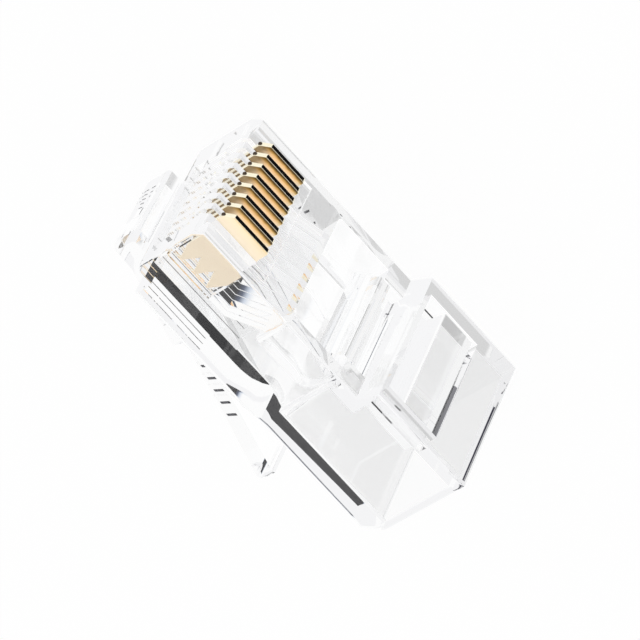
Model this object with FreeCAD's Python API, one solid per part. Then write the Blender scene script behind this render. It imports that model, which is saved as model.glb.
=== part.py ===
import FreeCAD, Part
import math
import os

# Clear eight-way modular plug, as it leaves the mould: the contacts stand proud and both clamps
# are still up. Millimetres. The plug lies on one flat side.
#   x runs towards the nose, y from the contact side towards the latch, z across the width.
# Every outline below is given as (distance behind the nose face, depth below the contact face).

# Body
body_width = 11.68
body_length = 21.67
nose_depth = 6.65
underside_step = 10.40
underside_step_length = 2.20
underside_step_rise = 0.25
rear_rise = 1.29
step_foot = 13.60
step_run = 0.55
nose_bevel_run = 0.41
nose_bevel_drop = 0.65
nose_front_rise = 1.40
nose_undercut = 1.35
nose_lip_round = 0.45
rear_bevel_run = 0.80
rear_bevel_drop = 0.98
edge_round = 0.14
bottom_round = 0.50
side_wall = 1.00

# Contacts and the comb that guides them
contact_count = 8
contact_pitch = 1.02
contact_thickness = 0.36
contact_front = 0.80
contact_length = 3.40
contact_proud = 0.80
contact_height = 4.05
contact_nose_drop = 0.55
contact_nose_run = 0.50
contact_prongs = 3
contact_prong_length = 1.10
contact_prong_tip = 0.18
contact_crown = 0.10
contact_side_play = 0.05
contact_end_play = 0.06
comb_mouth_depth = 1.75
comb_recess = 0.18
comb_recess_length = 5.20
comb_side_margin = 1.10

# Wire channels and the well behind them
channel_width = 0.90
channel_height = 1.04
channel_centre_depth = 4.15
channel_front_wall = 0.62
channel_funnel_length = 2.00
channel_funnel_top = 2.30
well_front = 7.60
well_rear = 12.00
well_depth = 2.80
well_corner = 0.35
well_heel_round = 1.00
trough_round = 0.18
pocket_side_wall = 1.90

# Bridge between the well and the rear window, with the two thin hinge webs on it
bridge_front = 12.85
bridge_rear = 14.52
bridge_web_top = 0.86
bridge_underside = 1.34
hinge_radius = 0.21
hinge_play = 0.03

# Conductor clamp
conductor_clamp_rear = 12.55
conductor_clamp_top = 0.77
conductor_clamp_drop = 0.03
conductor_clamp_reach = 2.00
conductor_clamp_toe = 1.30
conductor_clamp_sink = 1.75
clamp_side_play = 0.09

# Jacket clamp, its window and the cavity for the cable jacket
cavity_side_wall = 1.05
cavity_roof_thickness = 1.14
cavity_front = 12.25
cavity_floor = 5.30
cavity_round = 0.45
ramp_start = 10.10
ramp_length = 3.20
entry_flare = 0.30
window_rim = 1.32
window_length = 4.18
jacket_clamp_setback = 1.48
jacket_clamp_length = 2.35
jacket_clamp_drop = 0.12
jacket_clamp_thickness = 1.85
jacket_clamp_lean = 0.28
jacket_clamp_rear_lean = 0.07
jacket_hinge_depth = 0.36
jacket_web_thickness = 0.36

# Latch
latch_width = 6.00
latch_root_thickness = 0.76
latch_tip_thickness = 1.10
latch_slope = 17.3
latch_front_reach = 0.95
latch_root_length = 7.00
latch_shoulder_length = 0.75
latch_lever_width = 3.25
latch_length = 16.95
latch_hinge_setback = 0.45
latch_hinge_radius = 0.46
latch_neck_rear = 0.95
latch_outer_drop = 0.70
latch_heel = 1.00
latch_front_drop = 0.90
latch_front_round = 0.55
latch_top_round = 0.25
latch_tip_round = 0.45
latch_corner = 0.20
latch_top_gap = 0.05

# Two places closer than this are the same place
same_place = 0.001


def spot(behind_nose, depth, across=0.0):
    """The point at a distance behind the nose face, a depth below the contact face."""
    return FreeCAD.Vector(body_length / 2 - behind_nose, depth - nose_depth / 2, across)


def prism(outline, low, high):
    """The solid that has a side outline of straight edges, from z = low to z = high."""
    corners = [spot(run, depth, low) for run, depth in outline]
    face = Part.Face(Part.makePolygon(corners + corners[:1]))
    return face.extrude(FreeCAD.Vector(0, 0, high - low))


def block(front, rear, top, bottom, low, high):
    """A box between two distances behind the nose, two depths and two heights."""
    return prism([(front, top), (rear, top), (rear, bottom), (front, bottom)], low, high)


def rod(behind_nose, depth, radius, low, high):
    """A round bar across the width."""
    return Part.makeCylinder(radius, high - low, spot(behind_nose, depth, low), FreeCAD.Vector(0, 0, 1))


def contact_z(place):
    """Height of the middle of one contact, counted from the side the plug lies on."""
    return body_width / 2 + (place - (contact_count - 1) / 2) * contact_pitch


def edges_across(solid, stations):
    """The straight edges across the width that pass through the given outline corners."""
    places = [spot(run, depth) for run, depth in stations]
    picked = []
    for edge in solid.Edges:
        start, end = edge.Vertexes[0].Point, edge.Vertexes[-1].Point
        runs_across = math.hypot(start.x - end.x, start.y - end.y) < same_place
        if runs_across and any(math.hypot(start.x - p.x, start.y - p.y) < same_place for p in places):
            picked.append(edge)
    return picked


# ---- housing ----

channel_floor = channel_centre_depth + channel_height / 2
rear_depth = nose_depth - underside_step_rise
nose_front_depth = nose_depth - nose_front_rise


def s_curve(run, depth, length, drop):
    """Two equal arcs that carry a floor down smoothly, level at both ends; up if drop is below 0."""
    half_run, half_drop = length / 2, drop / 2
    radius = (half_run ** 2 + half_drop ** 2) / (2 * half_drop)
    turn = math.asin(half_run / radius) / 2
    out, down = radius * math.sin(turn), radius * (1 - math.cos(turn))
    start = spot(run, depth)
    middle = spot(run + half_run, depth + half_drop)
    end = spot(run + length, depth + drop)
    first = Part.Arc(start, spot(run + out, depth + down), middle)
    second = Part.Arc(middle, spot(run + length - out, depth + drop - down), end)
    return [first.toShape(), second.toShape()]


def curved_prism(curve, corners, low, high):
    """The solid that has a side outline of one curve, closed by the given corners from end to end."""
    straight = Part.makePolygon([spot(run, depth) for run, depth in corners])
    outline = Part.Wire(curve + straight.Edges)
    outline.translate(FreeCAD.Vector(0, 0, low))
    return Part.Face(outline).extrude(FreeCAD.Vector(0, 0, high - low))


def underside_edges(solid):
    """The long edges along both sides of the underside, with those of the bevel behind them."""
    bevel_top = spot(0, rear_depth - rear_bevel_drop).y
    picked = []
    for edge in solid.Edges:
        box = edge.BoundBox
        if box.ZLength < same_place < box.XLength and box.YMin > bevel_top - same_place:
            picked.append(edge)
    return picked


def outer_block():
    """The solid outside of the body: bevelled nose, undercut below it, shallower at the rear."""
    lip = (0, nose_front_depth)
    corners = [
        (underside_step, nose_depth),
        (nose_undercut, nose_depth),
        (nose_undercut, nose_front_depth),
        lip,
        (0, nose_bevel_drop),
        (nose_bevel_run, 0),
        (step_foot, 0),
        (step_foot + step_run, -rear_rise),
        (body_length, -rear_rise),
        (body_length, rear_depth - rear_bevel_drop),
        (body_length - rear_bevel_run, rear_depth),
        (underside_step + underside_step_length, rear_depth),
    ]
    step = s_curve(underside_step, nose_depth, underside_step_length, -underside_step_rise)
    solid = curved_prism(step, corners, 0, body_width)
    solid = solid.makeFillet(nose_lip_round, edges_across(solid, [lip]))
    solid = solid.makeFillet(bottom_round, underside_edges(solid))
    side_edges = [edge for edge in solid.Edges if edge.BoundBox.ZLength < same_place]
    upper_edges = [edge for edge in side_edges if edge.BoundBox.Center.y < spot(0, nose_front_depth).y]
    return solid.makeFillet(edge_round, upper_edges)


def wire_channel(z):
    """A flat-floored channel for one wire, under its contact, with a tall mouth on the well."""
    half = channel_width / 2
    rear = well_front + edge_round
    top = channel_floor - channel_height
    outline = [
        (channel_front_wall, top),
        (well_front - channel_funnel_length, top),
        (well_front, channel_funnel_top),
        (rear, channel_funnel_top),
        (rear, channel_floor),
        (channel_front_wall, channel_floor),
    ]
    return prism(outline, z - half, z + half)


def contact_slot(z):
    """The narrow slot that holds one contact, with its mouth through the nose."""
    half = contact_thickness / 2 + contact_side_play
    front = contact_front - contact_end_play
    rear = contact_front + contact_length + contact_end_play
    above = -rear_rise - contact_proud
    slot = block(front, rear, above, channel_centre_depth, z - half, z + half)
    mouth = block(-front, front, above, comb_mouth_depth, z - half, z + half)
    return slot.fuse(mouth)


def well():
    """The deep well that shows the wires, rounded up at its rear end and upright at its front."""
    solid = block(well_front, well_rear, -rear_rise, well_depth, side_wall, body_width - side_wall)
    solid = solid.makeFillet(well_heel_round, edges_across(solid, [(well_rear, well_depth)]))
    front_x = spot(well_front, 0).x
    upright = [
        edge for edge in solid.Edges
        if edge.BoundBox.YLength > well_depth and abs(edge.BoundBox.Center.x - front_x) < same_place
    ]
    return solid.makeFillet(well_corner, upright)


def floor_edges(solid):
    """The two long edges along the floor of a cutting block, ramp and all."""
    low, high = solid.BoundBox.ZMin, solid.BoundBox.ZMax
    picked = []
    for edge in solid.Edges:
        box = edge.BoundBox
        on_side = min(abs(box.ZMin - low), abs(box.ZMax - high)) + box.ZLength < same_place
        on_floor = box.YMin > spot(0, channel_floor).y - same_place
        if on_side and on_floor and box.XLength > same_place:
            picked.append(edge)
    return picked


def wire_trough():
    """The narrow trough below the well, whose floor ramps down to the jacket cavity."""
    ramp = s_curve(ramp_start, channel_floor, ramp_length, cavity_floor - channel_floor)
    rear = ramp_start + ramp_length
    corners = [
        (rear, cavity_floor),
        (rear, bridge_underside),
        (well_front, bridge_underside),
        (well_front, channel_floor),
        (ramp_start, channel_floor),
    ]
    low = contact_z(0) - channel_width / 2
    solid = curved_prism(ramp, corners, low, body_width - low)
    return solid.makeFillet(trough_round, floor_edges(solid))


def jacket_cavity():
    """The space for the cable jacket, with rounded floor corners."""
    beyond = body_length + entry_flare
    roof = cavity_roof_thickness - rear_rise
    outline = [
        (cavity_front, cavity_floor),
        (beyond, cavity_floor),
        (beyond, roof),
        (bridge_rear, roof),
        (bridge_rear, bridge_underside),
        (cavity_front, bridge_underside),
    ]
    solid = prism(outline, cavity_side_wall, body_width - cavity_side_wall)
    front_x = spot(cavity_front, 0).x
    upright = [
        edge for edge in solid.Edges
        if abs(edge.BoundBox.XMax - front_x) < same_place
        and edge.BoundBox.XLength + edge.BoundBox.ZLength < same_place
    ]
    return solid.makeFillet(cavity_round, floor_edges(solid) + upright)


def entry_funnel():
    """The flare round the cable entry."""
    def ring(run, grow):
        top = cavity_roof_thickness - rear_rise - grow
        bottom = cavity_floor + grow
        low, high = cavity_side_wall - grow, body_width - cavity_side_wall + grow
        corners = [spot(run, top, low), spot(run, bottom, low), spot(run, bottom, high), spot(run, top, high)]
        return Part.makePolygon(corners + corners[:1])
    return Part.makeLoft([ring(body_length - entry_flare, 0), ring(body_length, entry_flare)], True, True)


def housing():
    """The body, cut from its outer block."""
    above = -rear_rise - contact_proud
    comb_low = contact_z(0) - comb_side_margin
    comb_high = contact_z(contact_count - 1) + comb_side_margin
    pocket_front = well_rear - well_heel_round
    pocket_high = body_width - pocket_side_wall
    cuts = [
        block(-contact_front, comb_recess_length, above, comb_recess, comb_low, comb_high),
        well(),
        wire_trough(),
        block(pocket_front, bridge_front, above, bridge_underside, pocket_side_wall, pocket_high),
        block(bridge_front - hinge_radius, step_foot, above, bridge_web_top, pocket_side_wall, pocket_high),
        jacket_cavity(),
        block(bridge_rear, bridge_rear + window_length, above, 0, window_rim, body_width - window_rim),
        entry_funnel(),
    ]
    for place in range(contact_count):
        cuts += [wire_channel(contact_z(place)), contact_slot(contact_z(place))]
    return outer_block().cut(cuts)


# ---- clamps ----

conductor_axis = (bridge_front - hinge_radius - hinge_play, (bridge_web_top + bridge_underside) / 2)
jacket_axis = (bridge_rear + hinge_radius + hinge_play, jacket_hinge_depth)


def conductor_clamp():
    """The bar that is pressed down on the wires, on a thin hinge at its rear."""
    run, depth = conductor_axis
    top_front = conductor_clamp_rear - conductor_clamp_top
    outline = [
        (top_front, conductor_clamp_drop),
        (conductor_clamp_rear, conductor_clamp_drop),
        (run + hinge_radius / 2, depth),
        (run, depth + hinge_radius),
        (run - hinge_radius, conductor_clamp_sink),
        (run - conductor_clamp_reach, conductor_clamp_toe),
    ]
    low = pocket_side_wall + clamp_side_play
    high = body_width - low
    bar = prism(outline, low, high)
    return bar.fuse(rod(run, depth, hinge_radius, low, high)).removeSplitter()


def jacket_clamp():
    """The block that is pressed down on the cable jacket, on a thin web at its front."""
    run, depth = jacket_axis
    half_web = jacket_web_thickness / 2
    top = jacket_clamp_drop - rear_rise
    bottom = top + jacket_clamp_thickness
    front = bridge_rear + jacket_clamp_setback
    rear = front + jacket_clamp_length
    outline = [
        (run, depth - half_web),
        (front - jacket_clamp_lean, depth - half_web),
        (front, top),
        (rear, top),
        (rear - jacket_clamp_rear_lean, bottom),
        (front, bottom),
        (run, depth + half_web),
    ]
    low = window_rim + clamp_side_play
    high = body_width - low
    tongue = prism(outline, low, high)
    return tongue.fuse(rod(run, depth, hinge_radius, low, high)).removeSplitter()


# ---- latch ----

latch_axis = (latch_hinge_setback, nose_front_depth + latch_top_gap + latch_hinge_radius)


def latch_outer(run):
    """Depth of the latch's outer face at a distance behind the nose."""
    return nose_depth + latch_outer_drop + run * math.tan(math.radians(latch_slope))


def latch_inner(run):
    """Depth of the latch's inner face, which faces the body: the lever thickens towards its tip."""
    thicker = (latch_tip_thickness - latch_root_thickness) * run / latch_length
    return latch_outer(run) - (latch_root_thickness + thicker) / math.cos(math.radians(latch_slope))


def latch_side():
    """The latch as a full-width strip: root in front of the nose, then a straight slope back."""
    run, depth = latch_axis
    shoulder = depth - latch_hinge_radius
    front_low = (-latch_front_reach, nose_depth + latch_front_drop)
    front_high = (-latch_front_reach, shoulder)
    outer_tip = (latch_length, latch_outer(latch_length))
    inner_tip = (latch_length, latch_inner(latch_length))
    neck = (latch_neck_rear, latch_inner(latch_neck_rear))
    outline = [
        front_high,
        (-latch_top_gap, shoulder),
        (run - latch_hinge_radius, depth),
        (run, depth),
        (latch_neck_rear, depth),
        neck,
        inner_tip,
        outer_tip,
        (latch_heel, latch_outer(latch_heel)),
        front_low,
    ]
    half = latch_width / 2
    solid = prism(outline, body_width / 2 - half, body_width / 2 + half)
    solid = solid.makeFillet(latch_front_round, edges_across(solid, [front_low]))
    solid = solid.makeFillet(latch_top_round, edges_across(solid, [front_high, neck]))
    return solid.makeFillet(latch_tip_round, edges_across(solid, [outer_tip]))


def latch_plan():
    """The latch from its outer side: wide up to the locking shoulders, then a narrow lever."""
    wide, narrow = latch_width / 2, latch_lever_width / 2
    half_outline = [
        (-2 * latch_front_reach, wide),
        (latch_root_length - latch_shoulder_length, wide),
        (latch_root_length, narrow),
        (latch_length - latch_corner, narrow),
        (latch_length, narrow - latch_corner),
    ]
    middle = body_width / 2
    corners = [spot(run, 0, middle + half) for run, half in half_outline]
    corners += [spot(run, 0, middle - half) for run, half in reversed(half_outline)]
    face = Part.Face(Part.makePolygon(corners + corners[:1]))
    return face.extrude(FreeCAD.Vector(0, 2 * latch_outer(latch_length), 0))


def latch():
    """The latch, with the round of its living hinge under the nose."""
    run, depth = latch_axis
    half = latch_width / 2
    low, high = body_width / 2 - half, body_width / 2 + half
    strip = latch_side().common(latch_plan())
    return strip.fuse(rod(run, depth, latch_hinge_radius, low, high)).removeSplitter()


# ---- contacts ----

def contact(place):
    """One blade: bevelled where it meets the socket's wire, three prongs to pierce a wire."""
    top = -contact_proud
    bottom = top + contact_height
    front, rear = contact_front, contact_front + contact_length
    outline = [
        (front, top + contact_nose_drop),
        (front + contact_nose_run, top),
        (rear - contact_crown, top),
        (rear, top + contact_crown),
    ]
    prong = contact_length / contact_prongs
    for tooth in range(contact_prongs):
        rear_root = rear - tooth * prong
        outline.append((rear_root, bottom - contact_prong_length))
        outline.append((rear_root - prong / 2 + contact_prong_tip / 2, bottom))
        outline.append((rear_root - prong / 2 - contact_prong_tip / 2, bottom))
    outline.append((front, bottom - contact_prong_length))
    middle = contact_z(place)
    return prism(outline, middle - contact_thickness / 2, middle + contact_thickness / 2)


def build():
    """Write every piece to its own file."""
    pieces = {
        "housing": housing(),
        "latch": latch(),
        "conductor_clamp": conductor_clamp(),
        "jacket_clamp": jacket_clamp(),
    }
    for place in range(contact_count):
        pieces[f"contact_{place + 1}"] = contact(place)
    os.makedirs("parts", exist_ok=True)
    for name, shape in pieces.items():
        shape.exportStep(f"parts/{name}.step")
        print(name, "solids", len(shape.Solids), "valid", shape.isValid(), "volume", round(shape.Volume, 3))


build()
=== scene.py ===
# %% [markdown]
# # A clear eight-way modular plug
# This lesson dresses a small water-clear plug for network cable: one moulding of clear
# polycarbonate with eight gold-plated blades pressed into it. The engineering model gives every
# size and place, and this file gives the finish: how the plastic bends light, how the gold
# shines, and the light and the table around them. All lengths are in metres. In the model, x
# runs from the cable entry to the nose, y from the contact side to the latch side, and z across
# the eight contacts.
#
# The first cell loads the engineering model as a fixed frame and notes the size of its box.

# %% Load the frame
import math

import bmesh
import bpy
import numpy as np
from mathutils import Matrix, Vector


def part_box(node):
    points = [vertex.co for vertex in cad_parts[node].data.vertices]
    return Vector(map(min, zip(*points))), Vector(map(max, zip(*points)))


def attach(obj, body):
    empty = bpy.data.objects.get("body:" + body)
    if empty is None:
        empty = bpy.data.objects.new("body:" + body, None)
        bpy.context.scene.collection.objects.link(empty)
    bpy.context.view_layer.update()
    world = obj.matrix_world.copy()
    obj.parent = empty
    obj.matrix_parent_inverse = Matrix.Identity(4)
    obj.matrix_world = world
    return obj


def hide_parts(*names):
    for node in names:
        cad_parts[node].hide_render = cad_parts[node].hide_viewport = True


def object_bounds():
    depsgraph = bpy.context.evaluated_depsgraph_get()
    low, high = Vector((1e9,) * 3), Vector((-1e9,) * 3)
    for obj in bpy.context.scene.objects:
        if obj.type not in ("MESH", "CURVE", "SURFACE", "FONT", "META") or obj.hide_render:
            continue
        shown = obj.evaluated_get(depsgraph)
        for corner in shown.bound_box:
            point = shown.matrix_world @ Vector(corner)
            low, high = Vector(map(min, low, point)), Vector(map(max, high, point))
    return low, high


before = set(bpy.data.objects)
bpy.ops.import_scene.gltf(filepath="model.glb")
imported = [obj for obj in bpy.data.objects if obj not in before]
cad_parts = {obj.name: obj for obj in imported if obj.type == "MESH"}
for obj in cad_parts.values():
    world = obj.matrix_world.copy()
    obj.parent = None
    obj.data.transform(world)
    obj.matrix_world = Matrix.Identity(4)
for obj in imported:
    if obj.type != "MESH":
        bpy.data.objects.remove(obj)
MM = 0.001
bpy.context.view_layer.update()
cad_low, cad_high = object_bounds()
contact_names = sorted(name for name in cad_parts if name.startswith("contact_"))
print("pieces:", len(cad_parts), "of which contacts:", len(contact_names))
print("box in mm:", [round(side / MM, 2) for side in cad_high - cad_low])

# %% [markdown]
# ## The camera
# A camera is easiest to repeat when it is told in a studio's plain words: which way it looks
# from, how far off it stands, how much it is rolled, and the length of its lens. It could also be
# aimed with a Track To constraint, but that can't tell the roll. A long lens from far off keeps
# the plug's parallel edges nearly parallel, as in a catalogue. The roll is large because the plug
# is shown nearly upside down, with its latch at the lower left.

# %% Camera
VIEW_AZIMUTH = 27.20
VIEW_ELEVATION = 49.80
VIEW_ROLL = -154.27
LENS = 312.4
STAND_OFF = 0.32176
AIM_FROM_NOSE = Vector((-11.142, 4.766, 4.556)) * MM
NEAREST_SEEN = 0.01
FARTHEST_SEEN = 20


def stand(azimuth, elevation):
    """The direction from the plug to a camera: azimuth turns about z from -y, elevation lifts."""
    turn, lift = math.radians(azimuth), math.radians(elevation)
    flat = math.cos(lift)
    return Vector((math.sin(turn) * flat, -math.cos(turn) * flat, math.sin(lift)))


def add_camera(aim, azimuth, elevation, roll, distance, lens):
    """A camera that looks at a point from a direction, turned by a roll about its own axis."""
    back = stand(azimuth, elevation)
    level = Vector((0, 0, 1)).cross(back).normalized()
    above = back.cross(level)
    turn = math.radians(roll)
    right = level * math.cos(turn) + above * math.sin(turn)
    up = back.cross(right)
    camera = bpy.data.objects.new("camera", bpy.data.cameras.new("camera"))
    camera.data.lens = lens
    camera.data.clip_start = NEAREST_SEEN
    camera.data.clip_end = FARTHEST_SEEN
    axes = Matrix((right, up, back)).transposed().to_4x4()
    camera.matrix_world = Matrix.Translation(aim + back * distance) @ axes
    bpy.context.scene.collection.objects.link(camera)
    bpy.context.scene.camera = camera
    return camera


bpy.context.scene.view_settings.view_transform = "Standard"
body_low, body_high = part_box("housing")
nose_corner = Vector((body_high.x, body_low.y, body_low.z))
aim = nose_corner + AIM_FROM_NOSE
camera = add_camera(aim, VIEW_AZIMUTH, VIEW_ELEVATION, VIEW_ROLL, STAND_OFF, LENS)
print("camera at", [round(value, 4) for value in camera.matrix_world.translation])

# %% [markdown]
# ## Shader maths as plain Python
# A material is a graph of small nodes. Written out node by node it is long and hard to read, so a
# small class wraps one output socket and gives it Python's own operators: `1 - mask` adds a Math
# node and hands back its output. Everything that isn't plain arithmetic comes from one method,
# `node`, which takes the node's type, its settings and its inputs.
#
# Clear plastic and facing blades keep some light caught between their walls for a long time. A
# renderer follows a ray only so far and then calls it black. `surface` ends each material with a
# way out: it counts how often a ray has been mirrored or bent, and lets it go into a plain glow
# just before the renderer would give up on it.

# %% Shader helpers
MOST_TURNS = 11
HALF_A_STEP = 0.5


class Value:
    """One output socket of a node graph. + - * > and | (the larger) add Math nodes to its graph."""

    def __init__(self, graph, socket):
        self.graph, self.socket = graph, socket

    def maths(self, operation, first, second):
        """The result of one Math node; each input is a number or a Value."""
        return self.graph.node("ShaderNodeMath", {"operation": operation}, {0: first, 1: second})

    def __add__(self, other):
        return self.maths("ADD", self, other)

    def __radd__(self, other):
        return self.maths("ADD", other, self)

    def __sub__(self, other):
        return self.maths("SUBTRACT", self, other)

    def __rsub__(self, other):
        return self.maths("SUBTRACT", other, self)

    def __mul__(self, other):
        return self.maths("MULTIPLY", self, other)

    def __rmul__(self, other):
        return self.maths("MULTIPLY", other, self)

    def __gt__(self, other):
        return self.maths("GREATER_THAN", self, other)

    def __or__(self, other):
        return self.maths("MAXIMUM", self, other)


class Graph:
    """The node graph of one material or of the world."""

    def __init__(self, owner):
        owner.use_nodes = True
        self.tree = owner.node_tree
        self.tree.nodes.clear()

    def node(self, kind, settings=None, inputs=None, output=0):
        """Adds a node: its settings first, then a number, colour or Value for each input."""
        made = self.tree.nodes.new(kind)
        for name, setting in (settings or {}).items():
            if name == "stops":
                self.set_stops(made.color_ramp, setting)
            else:
                setattr(made, name, setting)
        for name, value in (inputs or {}).items():
            if isinstance(value, Value):
                self.tree.links.new(value.socket, made.inputs[name])
            else:
                made.inputs[name].default_value = value
        return Value(self, made.outputs[output]) if made.outputs else None

    def output(self, kind, name):
        """One named output of a node that needs no inputs, such as the texture coordinates."""
        return Value(self, self.node(kind).socket.node.outputs[name])

    def along(self, vector, axis):
        """How far a vector goes along one axis: X, Y or Z."""
        split = self.node("ShaderNodeSeparateXYZ", None, {0: vector})
        return Value(self, split.socket.node.outputs[axis])

    @staticmethod
    def set_stops(ramp, stops):
        """Gives a colour ramp its stops, each a position and a colour."""
        while len(ramp.elements) < len(stops):
            ramp.elements.new(1.0)
        for element, (position, colour) in zip(ramp.elements, stops):
            element.position = position
            element.color = (*colour, 1)

    def smooth(self, value, low, high):
        """0 below low, 1 above high, and a smooth step between them."""
        settings = {"interpolation_type": "SMOOTHSTEP"}
        inputs = {"Value": value, "From Min": low, "From Max": high}
        return self.node("ShaderNodeMapRange", settings, inputs)

    def noise(self, where, scale, detail=2.0, roughness=0.5):
        """Cloudy noise from 0 to 1 at a place; scale is how many clouds there are in a metre."""
        inputs = {"Vector": where, "Scale": scale, "Detail": detail, "Roughness": roughness}
        return self.node("ShaderNodeTexNoise", None, inputs)

    def mix(self, share, first, second):
        """The colour first where share is 0 and second where it is 1."""
        inputs = {0: share, 6: first, 7: second}
        return self.node("ShaderNodeMix", {"data_type": "RGBA"}, inputs, output=2)

    def glow(self, colour):
        """A shader that only gives out one colour of light."""
        return self.node("ShaderNodeEmission", None, {"Color": colour})


def surface(graph, shader, way_out, most_mirrors):
    """Ends a material, with a way out for light that is caught inside.

    A ray that has been mirrored or bent many times would in truth find its way out to the white
    tent at last. Such a ray takes the glow of way_out, instead of going out as black. The counts
    are whole numbers, so each is compared half a step below its limit.
    """
    mirrors = graph.output("ShaderNodeLightPath", "Glossy Depth") > most_mirrors - HALF_A_STEP
    turns = graph.output("ShaderNodeLightPath", "Ray Depth") > MOST_TURNS - HALF_A_STEP
    ended = graph.node("ShaderNodeMixShader", None, {0: mirrors | turns, 1: shader, 2: way_out})
    graph.node("ShaderNodeOutputMaterial", None, {"Surface": ended})


def new_material(name):
    """An empty material and its graph."""
    material = bpy.data.materials.new(name)
    return material, Graph(material)


print("shader helpers are ready")

# %% [markdown]
# ## The light around the plug
# Clear plastic has no colour of its own: all that shows it is what it bends and mirrors. A
# studio for glassware therefore surrounds it with white and puts one black card where the glass
# will mirror it, which draws the dark lines that give glass its shape. Lamps could light
# the plug too, but each would leave its own small glare, so there are none, and the world below
# is the whole tent: white all round, with a black card low on the contact side. The edge of the
# card fades through blue, as thick plastic splits the light there, and two smaller, weaker dark
# patches hang above the plug. Each is a soft round patch, found from the angle between a
# direction and the middle of the patch, and told by that middle and by the two angles, in
# degrees, within which it is full and beyond which it is gone.

# %% World
BLACK_CARD = ((-0.20, -0.78, -0.59), 18, 31)
LATCH_SIDE_PATCH = ((-0.295, 0.574, 0.764), 12, 24)
CONTACT_SIDE_PATCH = ((-0.295, -0.574, 0.764), 10, 18)
LATCH_SIDE_SHADE = 0.28
CONTACT_SIDE_SHADE = 0.80
CARD_STOPS = [
    (0.00, (1, 1, 1)),
    (0.30, (0.62, 0.68, 0.78)),
    (0.60, (0.07, 0.09, 0.15)),
    (0.85, (0.004, 0.004, 0.006)),
]
BLACK = (0, 0, 0, 1)

world = bpy.data.worlds.new("white tent")
bpy.context.scene.world = world
tent = Graph(world)


def card(direction, middle, inner, outer):
    """1 within the inner angle of the card's middle and 0 beyond the outer, from their cosine."""
    inputs = {0: direction, 1: tuple(Vector(middle).normalized())}
    nearness = tent.node("ShaderNodeVectorMath", {"operation": "DOT_PRODUCT"}, inputs, output=1)
    return tent.smooth(nearness, math.cos(math.radians(outer)), math.cos(math.radians(inner)))


around = tent.node("ShaderNodeTexCoord")
black_card = card(around, *BLACK_CARD)
latch_side = 1 - LATCH_SIDE_SHADE * card(around, *LATCH_SIDE_PATCH)
contact_side = 1 - CONTACT_SIDE_SHADE * card(around, *CONTACT_SIDE_PATCH)
card_colour = tent.node("ShaderNodeValToRGB", {"stops": CARD_STOPS}, {0: black_card})
tent_colour = tent.mix(latch_side * contact_side, BLACK, card_colour)
tent_light = tent.node("ShaderNodeBackground", None, {"Color": tent_colour, "Strength": 1.0})
tent.node("ShaderNodeOutputWorld", None, {"Surface": tent_light})
print("world nodes:", len(tent.tree.nodes))

# %% [markdown]
# ## The table
# The plug lies on a plain white table. What the camera sees directly is white with the plug's
# soft shadow on it. What the camera sees through the plug, or mirrored in it, comes from the tent
# instead: a real light table glows from below in the same way, and the black card under it can
# then reach the plastic.

# %% Table
TABLE_REACH = 1.5
TABLE_GAP = 0.02 * MM
TABLE_PAINT = (0.95, 0.95, 0.95, 1)
TABLE_LIGHT = (1, 1, 1, 1)
LIGHT_SHARE = 0.96


def add_table(reach, level):
    """A square of table: the point (x, y) of a grid from -reach to reach, at one height."""
    across = np.array([-reach, reach])
    x, y = np.meshgrid(across, across)
    corners = np.column_stack([x.ravel(), y.ravel(), np.full(x.size, level)])
    mesh = bpy.data.meshes.new("table")
    mesh.from_pydata(corners.tolist(), [], [(0, 1, 3, 2)])
    table = bpy.data.objects.new("table", mesh)
    bpy.context.scene.collection.objects.link(table)
    return table


table = add_table(TABLE_REACH, cad_low.z - TABLE_GAP)
table_white, top = new_material("table_white")
seen = top.output("ShaderNodeLightPath", "Is Camera Ray")
painted = top.node("ShaderNodeBsdfDiffuse", None, {"Color": TABLE_PAINT})
lit = top.node("ShaderNodeMixShader", None, {0: LIGHT_SHARE, 1: painted, 2: top.glow(TABLE_LIGHT)})
open_air = top.node("ShaderNodeBsdfTransparent")
shown = top.node("ShaderNodeMixShader", None, {0: seen, 1: open_air, 2: lit})
top.node("ShaderNodeOutputMaterial", None, {"Surface": shown})
table.data.materials.append(table_white)
print("table at", round((cad_low.z - TABLE_GAP) / MM, 2), "mm")

# %% [markdown]
# ## Clear polycarbonate
# The moulding is water clear. Its refractive index of 1.585 is high for a plastic, which is why
# its edges mirror so strongly. The surface comes off polished steel, so it is nearly a perfect
# mirror, with a faint waviness where the melt flowed and shrank. A Glass shader could show it
# too, but the Principled shader is the one that other programs understand best.
#
# The light that stays caught inside mostly comes out white. At the rear end of the window it
# doesn't: the narrow gap behind the jacket clamp shows as a dark slit, and that slit is painted
# shade. A mask over a strip there, found from the place on the plug, picks a dark way out. The
# strip starts just behind the clamp, and its tones and edges are given here.

# %% Clear plastic
CLEAR_MIRRORS = 4
PLASTIC_TINT = (0.996, 0.997, 0.998, 1)
PLASTIC_INDEX = 1.585
PLASTIC_POLISH = 0.004
POLISH_CHANGE = 0.012
POLISH_CLOUDS = 2200
FLOW_CLOUDS = 260
FLOW_DETAIL = 1.0
FLOW_STRENGTH = 0.05
FLOW_HEIGHT = 0.05 * MM
CAUGHT_WHITE = (0.92, 0.92, 0.93, 1)
# Painted shade: the dark glow that caught light takes in the strip at the rear of the window.
CAUGHT_PAINTED_SHADE = (0.06, 0.06, 0.08, 1)
# The strip of painted shade starts this far behind the nose end. It is full, begins to fade and
# is gone at the next three distances from its start.
STRIP_START = 18.40 * MM
STRIP_FULL = 0.2 * MM
STRIP_FADING = 0.4 * MM
STRIP_GONE = 0.8 * MM
# It reaches this far in from the outermost face of the contact side, with a soft edge.
STRIP_DEPTH = 1.45 * MM
STRIP_SOFT_EDGE = 0.1 * MM


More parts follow.
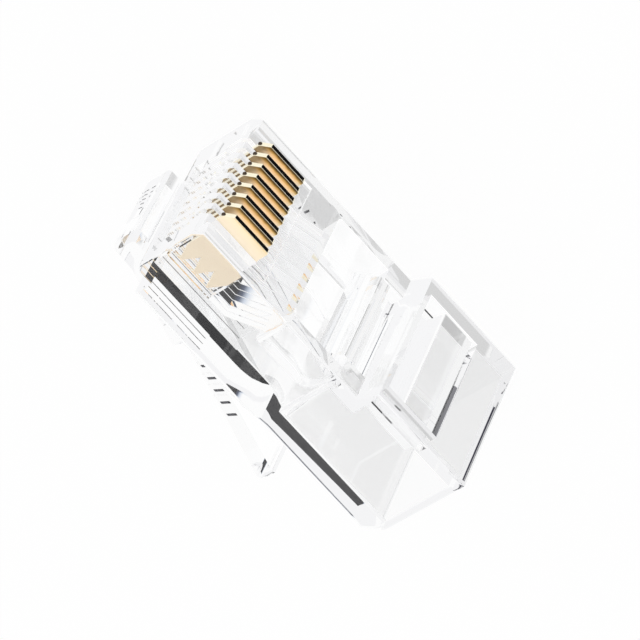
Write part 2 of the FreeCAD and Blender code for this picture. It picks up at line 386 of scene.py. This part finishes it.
def painted_shade_strip(graph, where):
    """Painted shade: 1 in a strip at the rear of the window, on the contact side, 0 away from it.
    """
    past = body_high.x - STRIP_START - graph.along(where, "X")
    outward = body_low.y + STRIP_DEPTH - graph.along(where, "Y")
    begun = graph.smooth(past, 0, STRIP_FULL) * graph.smooth(outward, 0, STRIP_SOFT_EDGE)
    return begun * (1 - graph.smooth(past, STRIP_FADING, STRIP_GONE))


def clear_plastic():
    """Water-clear moulded polycarbonate: full transmission and a faint flow waviness."""
    material, graph = new_material("clear_polycarbonate")
    where = graph.output("ShaderNodeTexCoord", "Object")
    flow = graph.noise(where, FLOW_CLOUDS, FLOW_DETAIL)
    polish = graph.noise(where, POLISH_CLOUDS)
    waves = {"Strength": FLOW_STRENGTH, "Distance": FLOW_HEIGHT, "Height": flow}
    inputs = {
        "Base Color": PLASTIC_TINT,
        "Roughness": PLASTIC_POLISH + POLISH_CHANGE * polish,
        "Normal": graph.node("ShaderNodeBump", None, waves),
        "IOR": PLASTIC_INDEX,
        "Transmission Weight": 1.0,
    }
    plastic = graph.node("ShaderNodeBsdfPrincipled", None, inputs)
    # Painted shade: in the strip, caught light comes out dark instead of white.
    strip = painted_shade_strip(graph, where)
    caught = {0: strip, 1: graph.glow(CAUGHT_WHITE), 2: graph.glow(CAUGHT_PAINTED_SHADE)}
    surface(graph, plastic, graph.node("ShaderNodeMixShader", None, caught), CLEAR_MIRRORS)
    return material


polycarbonate = clear_plastic()
print("plastic nodes:", len(polycarbonate.node_tree.nodes))

# %% [markdown]
# ## Gold on phosphor bronze
# Each contact is a stamped blade of phosphor bronze with a thin, hard gold plating. Gold keeps a
# warm tint in what it mirrors. The edge is burnished, pale and bright. The flanks are duller and
# face each other across narrow gaps, so they are dark at the top and paler further in. That is
# painted shade and light: a colour ramp follows the depth below the top edge, the flanks are
# painted darker near the nose, and a little warm glow stands for the light that bounces between
# the blades. The light could be left to find its own way down the gaps, but a ramp makes the
# change of tone plain and easy to tune. The outermost flank faces open plastic and stays pale all
# over: it gets a copy of the gold with painted light.

# %% Gold
GOLD_MIRRORS = 3
GOLD_CAUGHT = (0.90, 0.66, 0.38, 1)
# Painted light: how strongly the flanks glow with their own colour, for light bouncing between
# blades.
GOLD_GLOW = 0.22
GOLD_ROUGHNESS = 0.07
STREAK_DULLS = 0.05
FLANK_DULLS = 0.12
FLANK_LESS_METAL = 0.45
# Where a face begins to look like a flank, and where it fully does: the square of how far its
# normal points sideways.
FLANK_TURNED = (0.55, 0.95)
# The depth below the top edge at which the stops of the painted flank shade end.
FLANK_REACH = 0.75 * MM
# Painted shade and light down a flank in the row: dark at the top, where it faces the next blade,
# pale further in.
FLANK_PAINTED_SHADE = [
    (0.00, (0.030, 0.018, 0.006)),
    (0.16, (0.14, 0.085, 0.02)),
    (0.28, (0.62, 0.42, 0.14)),
    (0.42, (0.95, 0.72, 0.42)),
    (0.62, (1.0, 0.88, 0.68)),
    (1.00, (0.98, 0.76, 0.54)),
]
# Painted light: the outermost flank has no blade beside it, so it stays pale from the top edge in.
OPEN_FLANK_PAINTED_LIGHT = [(0.00, (0.98, 0.72, 0.36)), (0.20, (1.0, 0.84, 0.58)), (1.00, (1.0, 0.86, 0.66))]
FRONT_PAINTED_SHADE = (0.20, 0.13, 0.03, 1)
# How far behind the blade's nose end the painted shade at the front is full, and where it is gone.
FRONT_REACH = (0.25 * MM, 1.0 * MM)
FRONT_SHADE = 0.8
EDGE_GOLD = (1.0, 0.90, 0.64, 1)
EDGE_BRIGHT = (1.0, 0.97, 0.84, 1)
# A small scale draws the noise out into streaks: most along x, the way the strip was rolled.
STREAK_STRETCH = (0.06, 1.0, 0.4)
STREAK_CLOUDS = 9000
STREAK_DETAIL = 3.0
STREAK_ROUGHNESS = 0.6
STREAK_STRENGTH = 0.05
STREAK_HEIGHT = 0.01 * MM
TONE_CLOUDS = 2500
WANDER = 0.10 * MM
blade_low, blade_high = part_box(contact_names[0])


def gold_plating(name, painted_flank_stops, front_shade):
    """Gold plate: pale and bright on the burnished edges, with painted shade and light on the
    flanks.

    The flanks' colour runs through the stops from the top edge inwards, as painted shade and
    light, and front_shade tells how much painted shade darkens them near the nose. The flanks
    also glow a little, as painted light.
    """
    material, graph = new_material(name)
    where = graph.output("ShaderNodeTexCoord", "Object")
    sideways = graph.along(graph.output("ShaderNodeNewGeometry", "Normal"), "Z")
    flank = graph.smooth(sideways * sideways, *FLANK_TURNED)
    rolled = graph.node("ShaderNodeMapping", None, {"Vector": where, "Scale": STREAK_STRETCH})
    streak = graph.noise(rolled, STREAK_CLOUDS, STREAK_DETAIL, STREAK_ROUGHNESS)
    cloud = graph.noise(where, TONE_CLOUDS)
    wander = WANDER * (streak + cloud - 1)
    depth = graph.along(where, "Y") - blade_low.y + wander
    # Painted shade and light: the flank colour follows the depth below the top edge.
    ramp = {"stops": painted_flank_stops}
    painted_flank_colour = graph.node("ShaderNodeValToRGB", ramp, {0: depth * (1 / FLANK_REACH)})
    # Painted shade: the flanks darken towards the nose.
    behind = blade_high.x - graph.along(where, "X") + wander
    front = front_shade * (1 - graph.smooth(behind, *FRONT_REACH))
    painted_flank_colour = graph.mix(front, painted_flank_colour, FRONT_PAINTED_SHADE)
    colour = graph.mix(flank, graph.mix(cloud, EDGE_GOLD, EDGE_BRIGHT), painted_flank_colour)
    scratches = {"Strength": STREAK_STRENGTH, "Distance": STREAK_HEIGHT, "Height": streak}
    inputs = {
        "Base Color": colour,
        "Metallic": 1.0 - FLANK_LESS_METAL * flank,
        "Roughness": GOLD_ROUGHNESS + STREAK_DULLS * streak + FLANK_DULLS * flank,
        "Normal": graph.node("ShaderNodeBump", None, scratches),
        # Painted light: the flanks glow a little with their own colour.
        "Emission Color": graph.mix(flank, BLACK, colour),
        "Emission Strength": GOLD_GLOW,
    }
    metal = graph.node("ShaderNodeBsdfPrincipled", None, inputs)
    surface(graph, metal, graph.glow(GOLD_CAUGHT), GOLD_MIRRORS)
    return material


# Two copies of the gold: painted shade on the flanks in the row, painted light on the outermost.
gold = gold_plating("gold_plate_painted_shade", FLANK_PAINTED_SHADE, FRONT_SHADE)
gold_painted_light = gold_plating("gold_plate_painted_light", OPEN_FLANK_PAINTED_LIGHT, 0.0)
print("gold nodes:", len(gold.node_tree.nodes))

# %% [markdown]
# ## The clear pieces
# The housing, the latch and the two clamps come out of one mould, and thin webs let three of them
# move. Each keeps the shape of its engineering piece. That shape comes as loose triangles, and
# clear plastic shows every flaw in its shading, so each piece is copied, its corners are merged,
# its sharp edges are kept sharp, and the large faces rule the shading: a flat wall stays
# optically flat, and a mirrored edge in it stays straight.

# %% Clear body
SAME_CORNER = 1e-7
SAME_FLAT = math.radians(0.05)
CLEAR_CREASE = math.radians(30)
FACE_WEIGHT = 100


def merged_copy(node, name):
    """A copy of an engineering piece with its loose triangles joined at their corners."""
    mesh = bpy.data.meshes.new(name)
    work = bmesh.new()
    work.from_mesh(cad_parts[node].data)
    bmesh.ops.remove_doubles(work, verts=work.verts, dist=SAME_CORNER)
    bmesh.ops.dissolve_limit(work, angle_limit=SAME_FLAT, verts=work.verts, edges=work.edges)
    work.to_mesh(mesh)
    work.free()
    copy = bpy.data.objects.new(name, mesh)
    bpy.context.scene.collection.objects.link(copy)
    return copy


def shade(piece, material, crease):
    """Gives a piece its material and smooths the shading of edges that turn less than a crease."""
    piece.data.materials.clear()
    piece.data.materials.append(material)
    piece.data.polygons.foreach_set("use_smooth", np.ones(len(piece.data.polygons), bool))
    piece.data.set_sharp_from_angle(angle=crease)


def keep_flats(piece):
    """Lets the large faces rule the shading, so that a flat wall stays optically flat."""
    weighted = piece.modifiers.new("flat faces", "WEIGHTED_NORMAL")
    weighted.mode = "FACE_AREA"
    weighted.weight = FACE_WEIGHT
    weighted.keep_sharp = True


for name in ("housing", "latch", "conductor_clamp", "jacket_clamp"):
    piece = merged_copy(name, "clear_" + name)
    shade(piece, polycarbonate, CLEAR_CREASE)
    keep_flats(piece)
    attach(piece, name)
    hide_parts(name)
    print(name, "faces:", len(piece.data.polygons))

# %% [markdown]
# ## The blades
# A stamped blade has no truly sharp edges: the tool rounds them over by a few hundredths of a
# millimetre. That little round draws a thin bright line along each side of the top edge. The
# Bevel modifier rounds every sharp edge at once and leaves the blade's shape alone. One blade,
# the outermost towards the viewer, gets the paler gold with painted light on its flanks, as
# nothing stands beside it; the others get the gold with painted shade.

# %% Blades
BLADE_ROUND = 0.030 * MM
ROUND_STEPS = 3
ROUND_CREASE = math.radians(20)
BLADE_CREASE = math.radians(40)


def round_edges(piece, width, segments):
    """Rounds every edge of a piece that turns by more than the round's crease angle."""
    bevel = piece.modifiers.new("rounded edges", "BEVEL")
    bevel.width = width
    bevel.segments = segments
    bevel.limit_method = "ANGLE"
    bevel.angle_limit = ROUND_CREASE


outermost = max(contact_names, key=lambda name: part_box(name)[1].z)
for name in contact_names:
    blade = merged_copy(name, "gold_" + name)
    # The outermost blade takes the gold with painted light, the rest the gold with painted shade.
    shade(blade, gold_painted_light if name == outermost else gold, BLADE_CREASE)
    round_edges(blade, BLADE_ROUND, ROUND_STEPS)
    keep_flats(blade)
    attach(blade, name)
    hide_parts(name)
print("blades:", len(contact_names), "edge round in mm:", round(BLADE_ROUND / MM, 3))

# %% [markdown]
# ## How a small dark mark is made
# Two small things catch the eye because they are dark: a round dot on each blade, and a row of
# grip marks on the lever of the latch, whose dark grey is painted shade. Each is a surface of its
# own, a grid of points from a formula and the faces between them, worked out with numpy. A dark
# patch in a shader would be less work, but it would have no edge of its own to catch the light.
# The first helper turns the two arrays into a piece, and the second makes a dark, mottled,
# half-dull material.

# %% Mark helpers
MOTTLE_CLOUDS = 14000
MOTTLE_LIGHTER = 2.2
MARK_ROUGHNESS = 0.30
MARK_ROUGHNESS_CHANGE = 0.25


def mesh_piece(name, points, faces, material):
    """A piece made from an array of points and an array of faces."""
    mesh = bpy.data.meshes.new(name)
    mesh.from_pydata(points.tolist(), [], faces.tolist())
    mesh.materials.append(material)
    mesh.polygons.foreach_set("use_smooth", np.ones(len(mesh.polygons), bool))
    piece = bpy.data.objects.new(name, mesh)
    bpy.context.scene.collection.objects.link(piece)
    return piece


def dark_mark(name, colour, transmission):
    """A small dark mark: nearly black, with a mottled, half-dull surface."""
    material, graph = new_material(name)
    mottle = graph.noise(graph.output("ShaderNodeTexCoord", "Object"), MOTTLE_CLOUDS)
    lighter = (*(MOTTLE_LIGHTER * part for part in colour[:3]), 1)
    inputs = {
        "Base Color": graph.mix(mottle, colour, lighter),
        "Roughness": MARK_ROUGHNESS + MARK_ROUGHNESS_CHANGE * mottle,
        "Transmission Weight": transmission,
    }
    shader = graph.node("ShaderNodeBsdfPrincipled", None, inputs)
    surface(graph, shader, graph.glow(colour), CLEAR_MIRRORS)
    return material


print("mark helpers are ready")

# %% [markdown]
# ## Dark dots
# Each blade has a round dark dot at the foot of its bevel. It is made as a small dark ball that
# sits in the nose end of the blade, so that a little less than half of it shows.

# %% Dark dots
DOT_RADIUS = 0.13 * MM
DOT_SINK = 0.03 * MM
BEVEL_DROP = 0.55 * MM
DOT_BLACK = (0.030, 0.016, 0.006, 1)
LAST_TURN = 1.5
BEAD_RINGS = 12
BEAD_SIDES = 24


def bead(name, middle, radius, material):
    """A small ball: at a turn t from its waist its ring has the radius r cos t, r sin t along x.

    The turn, in radians, runs to just short of the poles on both sides.
    """
    turns = np.linspace(-LAST_TURN, LAST_TURN, BEAD_RINGS)
    sides = np.linspace(0, 2 * np.pi, BEAD_SIDES, endpoint=False)
    turn, around_axis = np.meshgrid(turns, sides)
    ring = radius * np.cos(turn)
    x = middle[0] + radius * np.sin(turn)
    y = middle[1] + ring * np.cos(around_axis)
    z = middle[2] + ring * np.sin(around_axis)
    points = np.stack([x, y, z], axis=-1).reshape(-1, 3)
    rows, columns = turn.shape
    row, column = np.meshgrid(np.arange(rows), np.arange(columns - 1), indexing="ij")
    after = (row + 1) % rows
    corners = [row * columns + column, after * columns + column]
    corners += [after * columns + column + 1, row * columns + column + 1]
    faces = np.stack(corners, axis=-1).reshape(-1, 4)
    return mesh_piece(name, points, faces, material)


dot_finish = dark_mark("dark_dot", DOT_BLACK, 0.0)
for name in contact_names:
    low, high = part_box(name)
    foot = (high.x - DOT_SINK, low.y + BEVEL_DROP, (low.z + high.z) / 2)
    dot = bead("mark_" + name, foot, DOT_RADIUS, dot_finish)
    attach(dot, name)
print("punch marks:", len(contact_names), "radius in mm:", round(DOT_RADIUS / MM, 3))

# %% [markdown]
# ## Grip marks
# The lever of the latch has a row of five small slanted marks on its side, for the fingertip.
# Each is a thin block that leans, half in and half out of the side wall. The row follows the
# slope of the lever, a fixed way in from its outer face. The marks are moulded in the same clear
# plastic, and their dark grey is painted shade for the dark that the ridges mirror and bend.

# %% Grip marks
GRIP_COUNT = 5
GRIP_FIRST = 8.9 * MM
GRIP_STEP = 0.86 * MM
GRIP_SIZE = np.array([0.17, 0.52, 0.05]) * MM
GRIP_SLANT = 0.5
GRIP_INSET = 0.50 * MM
# Painted shade: the clear grip marks are drawn dark grey and only partly clear.
GRIP_PAINTED_SHADE = (0.10, 0.10, 0.11, 1)
GRIP_CLEARNESS = 0.4
CONTACT_FACE = 1.29 * MM
LEVER_AT_NOSE = 7.35 * MM
LEVER_SLOPE = math.radians(17.3)
LEVER_HALF_WIDTH = 1.625 * MM


def slanted_marks(name, starts, size, slant, material):
    """A row of small blocks round their starts, leaning by a slant.

    Each corner lies half the size away from the start along every axis, and its x is then moved
    by the slant times its y.
    """
    unit = np.array([[x, y, z] for x in (-0.5, 0.5) for y in (-0.5, 0.5) for z in (-0.5, 0.5)])
    block = unit * size
    block[:, 0] += slant * block[:, 1]
    points = (starts[:, None, :] + block[None, :, :]).reshape(-1, 3)
    ends = [[0, 1, 3, 2], [4, 6, 7, 5]]
    sides = [[0, 4, 5, 1], [2, 3, 7, 6], [0, 2, 6, 4], [1, 5, 7, 3]]
    first_corner = len(block) * np.arange(len(starts))
    faces = (np.array(ends + sides)[None] + first_corner[:, None, None]).reshape(-1, 4)
    return mesh_piece(name, points, faces, material)


run = GRIP_FIRST + GRIP_STEP * np.arange(GRIP_COUNT)
latch_low, latch_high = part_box("latch")
lever_side = (latch_low.z + latch_high.z) / 2 + LEVER_HALF_WIDTH
outer = body_low.y + CONTACT_FACE + LEVER_AT_NOSE + run * math.tan(LEVER_SLOPE)
side = np.full(GRIP_COUNT, lever_side)
starts = np.column_stack([body_high.x - run, outer - GRIP_INSET, side])
grip_painted_shade = dark_mark("grip_mark_painted_shade", GRIP_PAINTED_SHADE, GRIP_CLEARNESS)
grips = slanted_marks("grip_marks", starts, GRIP_SIZE, GRIP_SLANT, grip_painted_shade)
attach(grips, "latch")
print("grip marks:", GRIP_COUNT)

# %% [markdown]
# ## Finish
# The last cell brings the scene up to date.

# %% Finish
bpy.context.view_layer.update()
